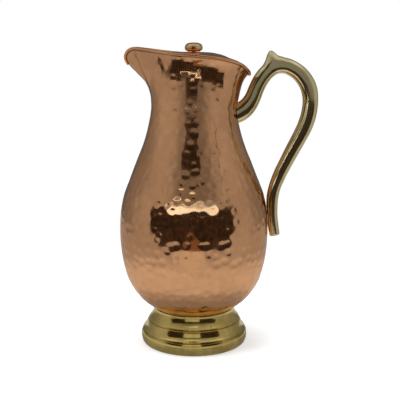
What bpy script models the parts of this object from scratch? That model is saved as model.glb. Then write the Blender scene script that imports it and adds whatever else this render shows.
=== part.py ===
"""A hammered copper water jug on a turned brass foot, with a cast brass handle and a lift-off lid.

All sizes below are millimetres in the jug's own measure: the vessel's axis is x = 0, the handle is
on the +X side, the spout is on the -X side, and the foot stands on z = 0. place() turns them into
metres and moves the axis so that the origin is at the middle of the bounding box's bottom.
"""
import math

import bmesh
import bpy
import numpy as np
from mathutils import Matrix, Vector

MM = 0.001
MERGE_DISTANCE = 1e-6
SMOOTH_BELOW = math.radians(35)
GAP = 0.3
BELLY_REACH = 72.4
HANDLE_REACH = 119.0
AXIS_X = (BELLY_REACH - HANDLE_REACH) / 2

# Copper sheet and its wired rim
WALL = 0.9
WIRE_RADIUS = 0.65
CURL_RADIUS = WIRE_RADIUS + GAP
BEAD_RADIUS = CURL_RADIUS + WALL
CURL_STEPS = 6
CURL_SWEEP = math.radians(270)
COLUMNS = 48

# Vessel outline below the throat, as (radius, height)
BODY_OUTLINE = (
    (31.0, 34.7), (36.0, 34.7), (40.2, 36.4), (45.4, 40.4), (52.4, 46.2), (58.8, 54.2), (64.7, 64.4),
    (68.4, 76.4), (71.1, 92.0), (BELLY_REACH, 112.0), (71.4, 132.0), (68.2, 148.0), (63.8, 160.0),
    (55.9, 180.0), (48.0, 200.0), (43.4, 217.0), (41.0, 232.0),
)
THROAT_RADIUS, THROAT_Z = BODY_OUTLINE[-1]
THROAT_ROWS = 6
THROAT_RISE = (20.0, 28.0)
THROAT_REACH = (9.0, 14.0)
BACK_LEAN = math.radians(12)

# Middle of the rim wire on the +Y half, from the back of the lip to the spout's tip:
# (x, y, z, flare of the wall there from upright in degrees)
RIM = (
    (52.5, 0.0, 263.4, 55), (51.0, 13.5, 267.4, 48), (42.5, 30.0, 274.2, 32), (26.0, 41.5, 279.0, 24),
    (4.0, 46.0, 281.7, 20), (-17.0, 42.5, 283.3, 20), (-34.0, 32.0, 285.3, 20), (-47.0, 21.5, 287.1, 18),
    (-57.0, 13.5, 287.8, 18), (-62.4, 9.0, 284.0, 30), (-63.3, 4.6, 278.4, 40), (-61.2, 0.0, 273.0, 53),
)
TROUGH_AXIS = (-0.8, 0.0, 0.6)
TROUGH_FROM, TROUGH_TO = -52.0, -60.0
RIM_STEPS = 24

# Base of the vessel and the brass foot, as (radius, height)
BASE_DISC_RADIUS = 34.6
BASE_DISC_DISH = 1.2
BASE_DISC_STEP = 2.0
FOOT_OUTER = (
    (39.7, 35.6), (39.9, 33.0), (40.8, 30.0), (42.2, 27.4), (45.0, 24.0), (44.7, 23.4), (45.5, 22.6),
    (46.6, 19.9), (48.4, 16.9), (50.6, 14.2), (51.2, 12.6),
)
FOOT_INNER = (
    (48.6, 12.6), (48.6, 4.0), (46.8, 4.0), (46.8, 13.2), (45.6, 17.0), (43.4, 21.4), (41.0, 25.0),
    (38.4, 29.4), (37.2, 32.2), (34.6, 32.2), (34.6, 34.4), (37.4, 34.4),
)
BAND = (
    (48.9, 12.3), (51.4, 12.3), (52.1, 10.6), (52.4, 7.6), (52.3, 4.6), (51.6, 2.0), (50.4, 0.5),
    (49.0, 0.0), (46.8, 0.0), (46.8, 3.7), (48.9, 3.7),
)
FOOT_SEGMENTS = 48

# Handle centre line: (x, z, inner reach, outer reach, half thickness)
HANDLE = (
    (37.0, 224.5, 8.6, 9.8, 8.0), (45.5, 228.5, 8.6, 9.6, 8.0), (51.5, 233.8, 8.2, 8.8, 7.8),
    (56.0, 241.0, 7.6, 7.8, 7.5), (59.2, 249.3, 7.4, 7.4, 7.3), (62.7, 256.9, 7.4, 7.4, 7.2),
    (67.0, 263.4, 7.3, 7.3, 7.1), (71.2, 267.6, 7.2, 7.8, 7.0), (74.6, 269.8, 7.0, 12.0, 7.0),
    (77.4, 271.0, 6.8, 16.2, 7.0), (80.2, 271.6, 6.8, 11.6, 7.0), (84.6, 272.0, 7.0, 8.4, 7.1),
    (91.0, 270.8, 7.2, 7.6, 7.2), (99.5, 265.8, 7.5, 7.6, 7.3), (106.0, 258.5, 7.7, 7.8, 7.4),
    (110.2, 249.5, 7.6, 7.8, 7.4), (111.7, 238.5, 7.4, 7.3, 7.4), (110.4, 226.5, 7.4, 7.4, 7.2),
    (107.0, 215.2, 7.3, 7.4, 7.0), (101.7, 203.8, 7.1, 7.1, 6.8), (95.7, 192.3, 6.9, 6.9, 6.6),
    (89.5, 180.0, 6.5, 6.5, 6.4), (83.7, 168.0, 6.3, 6.3, 6.2), (79.1, 156.0, 5.9, 5.9, 6.0),
    (76.9, 145.2, 5.8, 5.7, 5.9), (76.6, 134.0, 5.5, 5.4, 5.8), (77.0, 124.5, 5.3, 5.3, 5.7),
    (78.2, 115.5, 5.2, 5.2, 5.6), (79.6, 108.0, 5.1, 4.9, 5.5),
)
CHAMFER = 0.42
THUMB_REST_REACH = 9.0
# Rows of the vessel that the handle's feet are saddled to, from below its tail to half way up the throat
SADDLE_ROWS = (8, 20)
SADDLE_SEGMENTS = 96

# Fasteners that hold the handle from inside: where on the wall, shank length past the wall
SCREW_PLACES = {"upper": (41.4, 227.5, 10.8, 11.0), "lower": (71.55, 130.5, 3.2, 7.2)}
SHANK_RADIUS = 2.35
HOLE_RADIUS = SHANK_RADIUS + GAP
HEAD_RADIUS = 4.4
HEAD_HEIGHT = 3.0
WASHER_RADIUS = 6.0
WASHER_THICKNESS = 1.0
WASHER_SEAT = 1.75
SCREW_EDGE = 1.0
HOLE_START = -4.0

# Lid
LID_SHEET = 0.9
LID_APEX_Z = 284.3
LID_RINGS = 7
LID_HOLE = 2.4
LID_DROP = 2.0
LID_EDGE_STEPS = 8
TONGUE_START_X = -48.0
LID_TONGUE = ((-54.5, 7.4, 286.5), (-57.0, 0.0, 286.7))
COLLAR_RADIUS = 40.0
COLLAR_SHEET = 0.9
COLLAR_FOOT_Z = 260.0
KNOB_OUTLINE = (
    (2.2, 285.5), (5.7, 285.5), (5.6, 286.3), (7.4, 287.5), (8.4, 289.6), (7.9, 291.7), (6.0, 293.3),
    (3.2, 294.0), (0.0, 294.1),
)
KNOB_BORE = ((0.0, 290.6), (2.2, 290.6))
KNOB_SCREW_OUTLINE = (
    (0.0, 280.8), (2.8, 280.8), (3.6, 281.6), (3.6, 282.9), (1.9, 282.9), (1.9, 290.2), (0.0, 290.2),
)
KNOB_WASHER = (2.2, 6.0, 283.2, 284.0)
SMALL_SEGMENTS = 24

COPPER = (0.78, 0.42, 0.27, 1.0)
BRASS = (0.62, 0.51, 0.24, 1.0)
STEEL = (0.60, 0.60, 0.58, 1.0)


def clear_scene():
    for thing in list(bpy.data.objects):
        bpy.data.objects.remove(thing, do_unlink=True)


def metal(name, colour, roughness):
    """A bare polished metal."""
    material = bpy.data.materials.new(name)
    material.use_nodes = True
    shader = material.node_tree.nodes["Principled BSDF"]
    shader.inputs["Base Color"].default_value = colour
    shader.inputs["Metallic"].default_value = 1.0
    shader.inputs["Roughness"].default_value = roughness
    return material


def place(point):
    """A point of the jug's own measure, in metres in the part's frame."""
    return Vector(((point[0] + AXIS_X) * MM, point[1] * MM, point[2] * MM))


def add_object(name, mesh, material):
    mesh.materials.append(material)
    mesh.shade_smooth()
    mesh.set_sharp_from_angle(angle=SMOOTH_BELOW)
    thing = bpy.data.objects.new(name, mesh)
    bpy.context.collection.objects.link(thing)
    return thing


def mesh_of(name, points, faces):
    """A mesh from points of the jug's own measure and faces that index them."""
    mesh = bpy.data.meshes.new(name)
    mesh.from_pydata([place(p) for p in points], [], faces)
    mesh.validate()
    return mesh


def grid_faces(rows, columns, along=False):
    """Quads of a grid with `columns` points in each row, closed around, and closed along if asked."""
    faces = []
    for i in range(rows if along else rows - 1):
        for j in range(columns):
            a, b = i * columns, (i + 1) % rows * columns
            k = (j + 1) % columns
            faces.append((a + j, a + k, b + k, b + j))
    return faces


def smooth_curve(points, per_span, closed=False):
    """Catmull-Rom curve through the points, each row of which may hold any number of values."""
    p = np.asarray(points, float)
    if closed:
        p = np.vstack([p[-1:], p, p[:2]])
    else:
        p = np.vstack([2 * p[0] - p[1], p, 2 * p[-1] - p[-2]])
    t = np.linspace(0, 1, per_span, endpoint=False)[None, :, None]
    a, b, c, d = p[:-3, None], p[1:-2, None], p[2:-1, None], p[3:, None]
    curve = 0.5 * (2 * b + (c - a) * t + (2 * a - 5 * b + 4 * c - d) * t**2 + (3 * b - a - 3 * c + d) * t**3)
    curve = curve.reshape(-1, p.shape[1])
    return curve if closed else np.vstack([curve, p[-2:-1]])


def even_columns(curve, count):
    """`count` points evenly spaced along a closed curve, measured on its first three values."""
    loop = np.vstack([curve, curve[:1]])
    steps = np.linalg.norm(np.diff(loop[:, :3], axis=0), axis=1)
    along = np.concatenate([[0], np.cumsum(steps)])
    wanted = np.linspace(0, along[-1], count, endpoint=False)
    return np.stack([np.interp(wanted, along, loop[:, k]) for k in range(loop.shape[1])], axis=1)


def unit(v):
    return v / np.linalg.norm(v, axis=-1, keepdims=True)


def rim_frames():
    """The wire's middle, the wall's direction into the rim and the way to the inside, column by column."""
    half = [list(p) for p in RIM]
    mirrored = [[x, -y, z, flare] for x, y, z, flare in half[-2:0:-1]]
    fine = smooth_curve(half + mirrored, RIM_STEPS, closed=True)
    columns = even_columns(fine, COLUMNS)
    centre, flare = columns[:, :3], np.radians(columns[:, 3:])
    tangent = unit(np.roll(centre, -1, axis=0) - np.roll(centre, 1, axis=0))
    up = np.array([0.0, 0.0, 1.0])
    outward = unit(np.cross(tangent, up))
    wanted = np.sin(flare) * outward + np.cos(flare) * up
    share = np.clip((centre[:, :1] - TROUGH_FROM) / (TROUGH_TO - TROUGH_FROM), 0, 1)
    share = share * share * (3 - 2 * share)
    wanted = (1 - share) * wanted + share * np.array(TROUGH_AXIS)
    climb = unit(wanted - np.sum(wanted * tangent, axis=1, keepdims=True) * tangent)
    inward = np.cross(climb, tangent)
    return centre, climb, inward


def vessel_rows():
    """Rows of the vessel's outer skin: turned belly, throat swept to the rim, and the outward curl."""
    centre, climb, inward = rim_frames()
    angle = np.arctan2(centre[:, 1], centre[:, 0])
    around = np.stack([np.cos(angle), np.sin(angle), np.zeros_like(angle)], axis=1)
    up = np.array([0.0, 0.0, 1.0])
    rows = [r * around + z * up for r, z in BODY_OUTLINE]
    start = THROAT_RADIUS * around + THROAT_Z * up
    end = centre + CURL_RADIUS * inward
    front = (1 - np.cos(angle))[:, None] / 2
    rise = THROAT_RISE[0] + (THROAT_RISE[1] - THROAT_RISE[0]) * front
    reach = THROAT_REACH[0] + (THROAT_REACH[1] - THROAT_REACH[0]) * front
    lean = BACK_LEAN * np.clip(np.cos(angle), 0, 1)[:, None]
    first = start + rise * (np.sin(lean) * around + np.cos(lean) * up)
    second = end - reach * climb
    for i in range(1, THROAT_ROWS + 1):
        t = i / THROAT_ROWS
        s = 1 - t
        rows.append(s**3 * start + 3 * s * s * t * first + 3 * s * t * t * second + t**3 * end)
    for i in range(1, CURL_STEPS + 1):
        a = CURL_SWEEP * i / CURL_STEPS
        rows.append(centre + CURL_RADIUS * (math.cos(a) * inward + math.sin(a) * climb))
    return rows


def spun_mesh(name, outline, segments, axis_x):
    """A turned mesh: the outline, in (radius, height), spun about the upright axis at axis_x.

    The outline is closed from its last point to its first, unless both of them lie on the axis.
    """
    bm = bmesh.new()
    verts = [bm.verts.new(((r + axis_x) * MM, 0, z * MM)) for r, z in outline]
    pairs = list(zip(verts, verts[1:]))
    if outline[0][0] > 0 or outline[-1][0] > 0:
        pairs.append((verts[-1], verts[0]))
    edges = [bm.edges.new(pair) for pair in pairs]
    bmesh.ops.spin(
        bm, geom=verts + edges, cent=(axis_x * MM, 0, 0), axis=(0, 0, 1), angle=2 * math.pi,
        steps=segments, use_merge=True,
    )
    bmesh.ops.remove_doubles(bm, verts=bm.verts, dist=MERGE_DISTANCE)
    bmesh.ops.recalc_face_normals(bm, faces=bm.faces)
    mesh = bpy.data.meshes.new(name)
    bm.to_mesh(mesh)
    bm.free()
    return mesh


def turned_piece(name, outline, material, segments):
    """A lathe-turned piece about the vessel's axis."""
    return add_object(name, spun_mesh(name, outline, segments, AXIS_X), material)


def cutter(name, mesh):
    thing = bpy.data.objects.new(name, mesh)
    bpy.context.collection.objects.link(thing)
    thing.hide_render = True
    thing.display_type = "WIRE"
    return thing


def subtract(thing, tool):
    cut = thing.modifiers.new(tool.name, "BOOLEAN")
    cut.operation = "DIFFERENCE"
    cut.object = tool


def wall_frame(place_name):
    """Place and turn of a handle fastener: local +Z runs out through the wall."""
    radius, height, tilt, _ = SCREW_PLACES[place_name]
    turn = Matrix.Rotation(math.radians(90 - tilt), 4, "Y")
    return Matrix.Translation(place((radius, 0, height))) @ turn


def screw_hole(place_name):
    """The cutter of a fastener's clearance hole, from inside the wall to the blind end in the handle."""
    depth = SCREW_PLACES[place_name][3] + 2 * GAP
    outline = ((0, HOLE_START), (HOLE_RADIUS, HOLE_START), (HOLE_RADIUS, depth), (0, depth))
    tool = cutter(f"{place_name}_hole_cutter", spun_mesh(f"{place_name}_hole", outline, SMALL_SEGMENTS, 0))
    tool.matrix_world = wall_frame(place_name)
    return tool


def body_shell(copper, holes):
    """The raised vessel wall, one sheet from the base flange to the curl around the rim wire."""
    rows = vessel_rows()
    mesh = mesh_of("body_shell", np.vstack(rows), grid_faces(len(rows), COLUMNS))
    thing = add_object("body_shell", mesh, copper)
    skin = thing.modifiers.new("sheet", "SOLIDIFY")
    skin.thickness = WALL * MM
    skin.offset = -1
    skin.use_even_offset = True
    for hole in holes:
        subtract(thing, hole)
    return thing


def rim_wire(steel):
    """The wire that the rim is rolled around."""
    centre, _, _ = rim_frames()
    curve = bpy.data.curves.new("rim_wire", "CURVE")
    curve.dimensions = "3D"
    curve.bevel_depth = WIRE_RADIUS * MM
    curve.bevel_resolution = 1
    spline = curve.splines.new("POLY")
    spline.points.add(COLUMNS - 1)
    for point, where in zip(spline.points, centre):
        point.co = (*place(where), 1.0)
    spline.use_cyclic_u = True
    curve.materials.append(steel)
    thing = bpy.data.objects.new("rim_wire", curve)
    bpy.context.collection.objects.link(thing)
    return thing


def base_disc(copper):
    """The dished disc that closes the vessel, brazed on the inside of the base flange."""
    low = BODY_OUTLINE[0][1] + WALL + GAP
    dish = low - BASE_DISC_DISH
    inner = BODY_OUTLINE[0][0] - 2 * GAP
    step = inner - BASE_DISC_STEP
    outline = (
        (0.0, dish), (step, dish), (inner, low), (BASE_DISC_RADIUS, low),
        (BASE_DISC_RADIUS, low + WALL), (inner - WALL / 2, low + WALL), (step - WALL / 2, dish + WALL),
        (0.0, dish + WALL),
    )
    return turned_piece("base_disc", outline, copper, FOOT_SEGMENTS)


def handle(brass, holes):
    """The cast handle: a chamfered section lofted along its centre line, saddled to the vessel."""
    stations = np.array(HANDLE)
    centre = stations[:, :2]
    run = unit(np.gradient(centre, axis=0))
    outward = np.stack([-run[:, 1], run[:, 0]], axis=1)
    inner, outer, thick = stations[:, 2], stations[:, 3], stations[:, 4]
    sharp = np.clip(THUMB_REST_REACH / outer, 0, 1) ** 3
    soft = CHAMFER * np.minimum(inner, thick)
    crest = np.minimum(outer, THUMB_REST_REACH) - soft
    section = (
        (-(inner), -(thick - soft)), (-(inner - soft), -thick), (crest, -thick),
        (outer, -(thick - soft) * sharp), (outer, (thick - soft) * sharp), (crest, thick),
        (-(inner - soft), thick), (-(inner), thick - soft),
    )
    loops = []
    for i in range(len(stations)):
        for reach, side in section:
            x, z = centre[i] + outward[i] * reach[i]
            loops.append((x, side[i], z))
    sides = len(section)
    faces = grid_faces(len(stations), sides)
    faces.append(tuple(range(sides)))
    faces.append(tuple(len(loops) - 1 - k for k in range(sides)))
    mesh = mesh_of("handle", loops, faces)
    bm = bmesh.new()
    bm.from_mesh(mesh)
    bmesh.ops.recalc_face_normals(bm, faces=bm.faces)
    bm.to_mesh(mesh)
    bm.free()
    thing = add_object("handle", mesh, brass)
    subtract(thing, vessel_clearance())
    for hole in holes:
        subtract(thing, hole)
    return thing


def vessel_clearance():
    """The space that the vessel takes up behind the handle, grown by the gap between the two."""
    rows = vessel_rows()[slice(*SADDLE_ROWS)]
    back = [(row[0][0] + GAP, row[0][2]) for row in rows]
    outline = [(0.0, back[0][1])] + back + [(0.0, back[-1][1])]
    return cutter("vessel_clearance_cutter", spun_mesh("vessel_clearance", outline, SADDLE_SEGMENTS, AXIS_X))


def handle_fastener(place_name, brass):
    """The screw from inside the vessel into the handle, and the washer under its head."""
    shank = SCREW_PLACES[place_name][3]
    seat = -(WASHER_SEAT + WASHER_THICKNESS)
    head = seat - GAP
    screw = (
        (0, head - HEAD_HEIGHT), (HEAD_RADIUS - SCREW_EDGE, head - HEAD_HEIGHT),
        (HEAD_RADIUS, head - HEAD_HEIGHT + SCREW_EDGE), (HEAD_RADIUS, head), (SHANK_RADIUS, head),
        (SHANK_RADIUS, shank - SCREW_EDGE), (SHANK_RADIUS - SCREW_EDGE, shank), (0, shank),
    )
    washer = (
        (HOLE_RADIUS, seat), (WASHER_RADIUS, seat), (WASHER_RADIUS, -WASHER_SEAT),
        (HOLE_RADIUS, -WASHER_SEAT),
    )
    for kind, outline in (("screw", screw), ("washer", washer)):
        name = f"handle_{kind}_{place_name}"
        thing = add_object(name, spun_mesh(name, outline, SMALL_SEGMENTS, 0), brass)
        thing.matrix_world = wall_frame(place_name)


def lid_edge():
    """The lid's edge: inside the rim all round, cut short with a round tongue over the spout."""
    centre, climb, inward = rim_frames()
    seat = centre + (BEAD_RADIUS + GAP) * inward - LID_DROP * climb
    seat = seat[(seat[:, 0] > TONGUE_START_X) & (centre[:, 1] > -GAP)]
    seat = seat[np.argsort(np.arctan2(seat[:, 1], seat[:, 0]))]
    half = np.vstack([seat, LID_TONGUE])
    other = half[-2:0:-1] * np.array([1, -1, 1])
    loop = smooth_curve(np.vstack([half, other]), LID_EDGE_STEPS, closed=True)
    angle = np.unwrap(np.arctan2(loop[:, 1], loop[:, 0]))
    wanted = np.linspace(0, 2 * math.pi, COLUMNS, endpoint=False)
    reach = np.interp(wanted, angle, np.hypot(loop[:, 0], loop[:, 1]), period=2 * math.pi)
    height = np.interp(wanted, angle, loop[:, 2], period=2 * math.pi)
    return wanted, reach, height


def lid_underside(radius, reach, height):
    """Height of the lid's underside at a radius: level in the middle, cubic down to the edge."""
    share = (radius / reach) ** 3
    return LID_APEX_Z + (height - LID_APEX_Z) * share


def lid_plate(copper):
    """The domed lid of sheet copper, shaped to the mouth."""
    angle, reach, height = lid_edge()
    points = []
    for i in range(LID_RINGS):
        radius = LID_HOLE + (reach - LID_HOLE) * i / (LID_RINGS - 1)
        z = lid_underside(radius, reach, height)
        points.append(np.stack([radius * np.cos(angle), radius * np.sin(angle), z], axis=1))
    mesh = mesh_of("lid_plate", np.vstack(points), grid_faces(LID_RINGS, COLUMNS))
    thing = add_object("lid_plate", mesh, copper)
    sheet = thing.modifiers.new("sheet", "SOLIDIFY")
    sheet.thickness = LID_SHEET * MM
    sheet.offset = -1
    return thing


def lid_collar(copper):
    """The strip ring under the lid that keeps it in the throat, its top edge cut to the dome."""
    angle, reach, height = lid_edge()
    points = []
    for radius, at_top in (
        (COLLAR_RADIUS, False), (COLLAR_RADIUS, True),
        (COLLAR_RADIUS - COLLAR_SHEET, True), (COLLAR_RADIUS - COLLAR_SHEET, False),
    ):
        top = lid_underside(COLLAR_RADIUS, reach, height) - 2 * GAP
        z = top if at_top else np.full(COLUMNS, COLLAR_FOOT_Z)
        points.append(np.stack([radius * np.cos(angle), radius * np.sin(angle), z], axis=1))
    mesh = mesh_of("lid_collar", np.vstack(points), grid_faces(4, COLUMNS, along=True))
    return add_object("lid_collar", mesh, copper)


def build():
    clear_scene()
    copper = metal("hammered_copper", COPPER, 0.22)
    brass = metal("cast_brass", BRASS, 0.16)
    turned_brass = metal("turned_brass", BRASS, 0.24)
    turned_copper = metal("turned_copper", COPPER, 0.2)
    steel = metal("plated_steel", STEEL, 0.3)
    holes = [screw_hole(where) for where in SCREW_PLACES]
    body_shell(copper, holes)
    rim_wire(steel)
    base_disc(copper)
    turned_piece("foot_ring", FOOT_OUTER + FOOT_INNER, turned_brass, FOOT_SEGMENTS)
    turned_piece("foot_band", BAND, turned_brass, FOOT_SEGMENTS)
    handle(brass, holes)
    for where in SCREW_PLACES:
        handle_fastener(where, brass)
    lid_plate(copper)
    lid_collar(copper)
    turned_piece("lid_knob", KNOB_OUTLINE + KNOB_BORE, turned_copper, SMALL_SEGMENTS)
    turned_piece("knob_screw", KNOB_SCREW_OUTLINE, brass, SMALL_SEGMENTS)
    inner, outer, low, high = KNOB_WASHER
    ring = ((inner, low), (outer, low), (outer, high), (inner, high))
    turned_piece("knob_washer", ring, brass, SMALL_SEGMENTS)


build()
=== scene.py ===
"""A hammered copper water jug with a brass foot, a cast brass handle and a lift-off lid.

Sizes in the tables below are millimetres in the jug's own measure: the vessel's axis is x = 0, the
handle is on the +X side, the spout is on the -X side, and the foot stands on z = 0.
"""
import math

import bmesh
import bpy
import numpy as np
from bpy.props import FloatProperty, FloatVectorProperty, IntProperty, PointerProperty
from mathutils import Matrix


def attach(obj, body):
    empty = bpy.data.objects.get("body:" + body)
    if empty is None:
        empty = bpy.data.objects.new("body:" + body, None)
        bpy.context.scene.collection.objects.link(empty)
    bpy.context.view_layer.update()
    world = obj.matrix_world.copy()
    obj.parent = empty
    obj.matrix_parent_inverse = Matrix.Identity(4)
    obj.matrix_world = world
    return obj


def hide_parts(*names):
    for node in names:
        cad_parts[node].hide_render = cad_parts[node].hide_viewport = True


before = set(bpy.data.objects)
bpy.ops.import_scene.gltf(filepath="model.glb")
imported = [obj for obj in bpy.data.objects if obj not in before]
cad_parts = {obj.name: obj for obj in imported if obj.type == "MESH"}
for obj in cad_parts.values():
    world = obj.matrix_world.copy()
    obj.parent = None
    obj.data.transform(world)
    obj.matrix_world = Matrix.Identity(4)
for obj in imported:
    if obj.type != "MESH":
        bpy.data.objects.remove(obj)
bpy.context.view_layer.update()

bl_info = {
    "name": "Hammered copper water jug",
    "version": (1, 0, 0),
    "blender": (4, 5, 0),
    "location": "View3D > Sidebar > Jug",
    "description": "Builds the copper vessel, brass handle, foot and lid of a water jug, and its stage",
    "category": "Object",
}

MM = 0.001
# Edges that turn by more degrees than this are drawn sharp: most pieces, and the vessel
SMOOTH_BELOW = 50
VESSEL_SMOOTH = 70
TURN = 2 * math.pi
# Where the vessel's axis stands, and the gap left between pieces that stay clear of each other
AXIS_X = -23.3
GAP = 0.3

# Vessel outline below the throat, as (radius, height)
BODY_OUTLINE = (
    (31.0, 34.7), (36.0, 34.7), (40.2, 36.4), (45.4, 40.4), (52.4, 46.2), (58.8, 54.2), (64.7, 64.4),
    (68.4, 76.4), (71.1, 92.0), (72.4, 112.0), (71.4, 132.0), (68.2, 148.0), (63.8, 160.0),
    (55.9, 180.0), (48.0, 200.0), (43.4, 217.0), (41.0, 232.0),
)
# Where the outline would go on to, which sets its slope at its top
OUTLINE_NEXT = (41.7, 245.0)
THROAT_LEAN = math.radians(-3.4)
WALL = 0.9
# The rim's sheet is stretched thin round a wire of half a millimetre
WIRE_RADIUS = 0.5
CURL_RADIUS = 0.6
RIM_SHEET = 0.6
THINNING_LENGTH = 8.0
RIM_LIFT = 0.65
CURL_SWEEP = math.radians(270)
# Reach of the throat curve's inner control points at the back and at the front, and at the two sides
THROAT_RISE = (20.0, 28.0)
THROAT_REACH = (9.0, 14.0)
SIDE_RISE = 38.0
SIDE_REACH = 7.0
# Painted shade line under the rim's roll: how far it reaches down the wall, and over what length it fades
SHADE_REACH, SHADE_FADE = 2.2, 1.0
# How far the spout's nose swells out past its rim, sideways and outwards
NOSE_SWELL = 6.0
NOSE_DROP = 5.5
# The nose starts at this share of the way from the back to the front, and is full this much further on
NOSE_FROM, NOSE_OVER = 0.75, 0.24
BACK_LEAN = math.radians(12)
# Middle of the rim wire on the +Y half, from the back of the lip to the spout's tip:
# (x, y, z, flare of the wall there from upright in degrees)
RIM = (
    (52.5, 0.0, 263.4, 55), (51.0, 13.5, 267.4, 48), (42.5, 30.0, 274.2, 32), (26.0, 41.5, 279.0, 24),
    (4.0, 46.0, 281.7, 20), (-17.0, 42.5, 283.3, 20), (-34.0, 32.0, 285.3, 20), (-47.0, 21.5, 287.1, 18),
    (-57.0, 13.0, 287.9, 14), (-62.4, 9.0, 284.4, 20), (-64.0, 4.8, 279.2, 32), (-61.9, 0.0, 273.6, 46),
)
# The way the spout's trough points, and where along x the rim turns to it
TROUGH_AXIS = (-0.8, 0.0, 0.6)
TROUGH_FROM, TROUGH_TO = -52.0, -60.0

# Turned outlines, as runs of (radius, height); the runs meet at corners
FOOT_RUNS = (
    ((39.7, 35.6), (40.0, 33.0), (41.2, 30.0), (42.9, 27.2), (45.4, 23.9)),
    ((44.5, 23.2),),
    ((45.9, 22.5), (46.9, 20.4), (48.1, 17.6), (49.7, 15.3), (51.0, 14.0)),
    ((50.2, 13.3),), ((51.5, 12.6),),
    ((48.6, 12.6),), ((48.6, 4.0),), ((46.8, 4.0),),
    ((46.8, 13.2), (45.6, 17.0), (43.4, 21.4), (41.0, 25.0), (38.4, 29.4), (37.2, 32.2)),
    ((34.6, 32.2),), ((34.6, 34.4),), ((37.4, 34.4),),
)
BAND_RUNS = (
    ((48.9, 12.3),), ((51.5, 12.3), (52.2, 10.6), (52.5, 8.4)), ((52.1, 8.0),), ((52.5, 7.6), (52.3, 4.6),
    (51.6, 2.0), (50.4, 0.5), (49.0, 0.0)), ((46.8, 0.0),), ((46.8, 3.7),), ((48.9, 3.7),),
)
DISC_RUNS = (
    ((0.0, 34.7), (28.4, 34.7)), ((30.4, 35.9),), ((34.6, 35.9),),
    ((34.6, 36.8),), ((29.9, 36.8),), ((27.9, 35.6), (0.0, 35.6)),
)
KNOB_RUNS = (
    ((2.2, 285.5),), ((6.0, 285.5),), ((6.1, 286.0), (7.9, 287.0), (8.5, 288.9), (8.2, 290.8), (6.8, 292.6),
    (4.0, 293.7), (0.0, 294.0)), ((0.0, 290.6), (2.2, 290.6)),
)

# Handle centre line: (x, z, inner reach, outer reach, half thickness)
HANDLE = (
    (37.0, 224.5, 8.6, 9.8, 8.0), (45.5, 228.5, 8.6, 9.6, 8.0), (51.5, 233.8, 8.2, 8.8, 7.8),
    (56.0, 241.0, 7.6, 7.8, 7.5), (59.2, 249.3, 7.4, 7.4, 7.3), (62.7, 256.9, 7.4, 7.4, 7.2),
    (67.0, 263.4, 7.3, 7.3, 7.1), (71.2, 267.6, 7.2, 7.8, 7.0), (74.6, 269.8, 7.0, 12.0, 7.0),
    (77.4, 271.0, 6.8, 16.2, 7.0), (80.2, 271.6, 6.8, 11.6, 7.0), (84.6, 272.0, 7.0, 8.4, 7.1),
    (91.0, 270.8, 7.2, 7.6, 7.2), (99.5, 265.8, 7.5, 7.6, 7.3), (106.0, 258.5, 7.7, 7.8, 7.4),
    (110.2, 249.5, 7.6, 7.8, 7.4), (111.7, 238.5, 7.4, 7.3, 7.4), (110.4, 226.5, 7.4, 7.4, 7.2),
    (107.0, 215.2, 7.3, 7.4, 7.0), (101.7, 203.8, 7.1, 7.1, 6.8), (95.7, 192.3, 6.9, 6.9, 6.6),
    (89.5, 180.0, 6.5, 6.5, 6.4), (83.7, 168.0, 6.3, 6.3, 6.2), (79.1, 156.0, 5.9, 5.9, 6.0),
    (76.9, 145.2, 5.8, 5.7, 5.9), (76.6, 134.0, 5.5, 5.4, 5.8), (77.0, 124.5, 5.3, 5.3, 5.7),
    (78.2, 115.5, 5.2, 5.2, 5.6), (79.6, 108.0, 5.1, 4.9, 5.5),
)
# Share of the section cut off its corners, outer reach past which it narrows to the thumb rest, and how
# far its flats are crowned, from 0 for flat to 1 for an ellipse
CHAMFER = 0.42
THUMB_REST_REACH = 9.0
HANDLE_CROWN = 0.5

# Lid
LID_SHEET = 0.9
LID_APEX_Z = 284.3
LID_HOLE = 2.4
LID_DROP = 2.0
LID_INSET = 1.85
TONGUE_START_X = -48.0
LID_TONGUE = ((-54.5, 7.4, 286.5), (-57.0, 0.0, 286.7))
COLLAR_RADIUS = 38.8
COLLAR_SHEET = 0.9
COLLAR_FOOT_Z = 260.0
COLLAR_EDGE = 0.25
LID_EDGE_ROLL = 0.3

# Points on each span of the smooth curves
OUTLINE_STEPS = 16
RIM_STEPS = 96
LID_EDGE_STEPS = 24
HANDLE_STEPS = 7
# A coarse vessel, which the lid's edge and the handle's saddle are measured from
COARSE_COLUMNS, COARSE_STEP, COARSE_ROWS = 48, 4.0, 4
# Mesh steps: along the vessel's wall, round its curl and on its inner skin, and over the lid
ROW_STEP = 1.2
CURL_ROWS = 12
INNER_STEP = 7
INNER_FINE_ROWS = 14
TUBE_SIDES = 8
LID_COLUMNS = 240
LID_RINGS = 38
FOOT_SEGMENTS = 240
DISC_SEGMENTS = 192
KNOB_SEGMENTS = 96

# Handle: soft corners, drawn-in ends as (share of the section, way back along it), and the heights
# between which the vessel's outline cuts the saddle
HANDLE_CORNER = 1.3
END_REACH = 0.8
END_SHARE = (0.0, 0.55, 0.88, 0.97)
END_BACK = (0.0, 0.0, 0.25, 0.6)
SADDLE_FROM, SADDLE_TO = 92.0, 250.0
SADDLE_SEGMENTS = 160

# How far a hammer mark strays from its place, as a share of the pitch, and the range of its size
MARK_STRAY = 0.33
MARK_SIZES = (0.78, 1.16)
# Marks fade out over these lengths at the vessel's base and rim, and at the lid's edge and knob
FADE_BASE, FADE_RIM = (5.0, 5.0), (1.5, 5.0)
FADE_LID_EDGE, FADE_KNOB = 3.0, (7.5, 4.0)
# Marks are half as deep on the narrow neck as on the belly, changing over these radii
SHALLOW_RADIUS, DEEP_RADIUS = 43.0, 65.0

# Copper keeps its colour where it is seen edge on
COPPER_EDGE_TINT = (0.95, 0.86, 0.79, 1.0)


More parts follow.
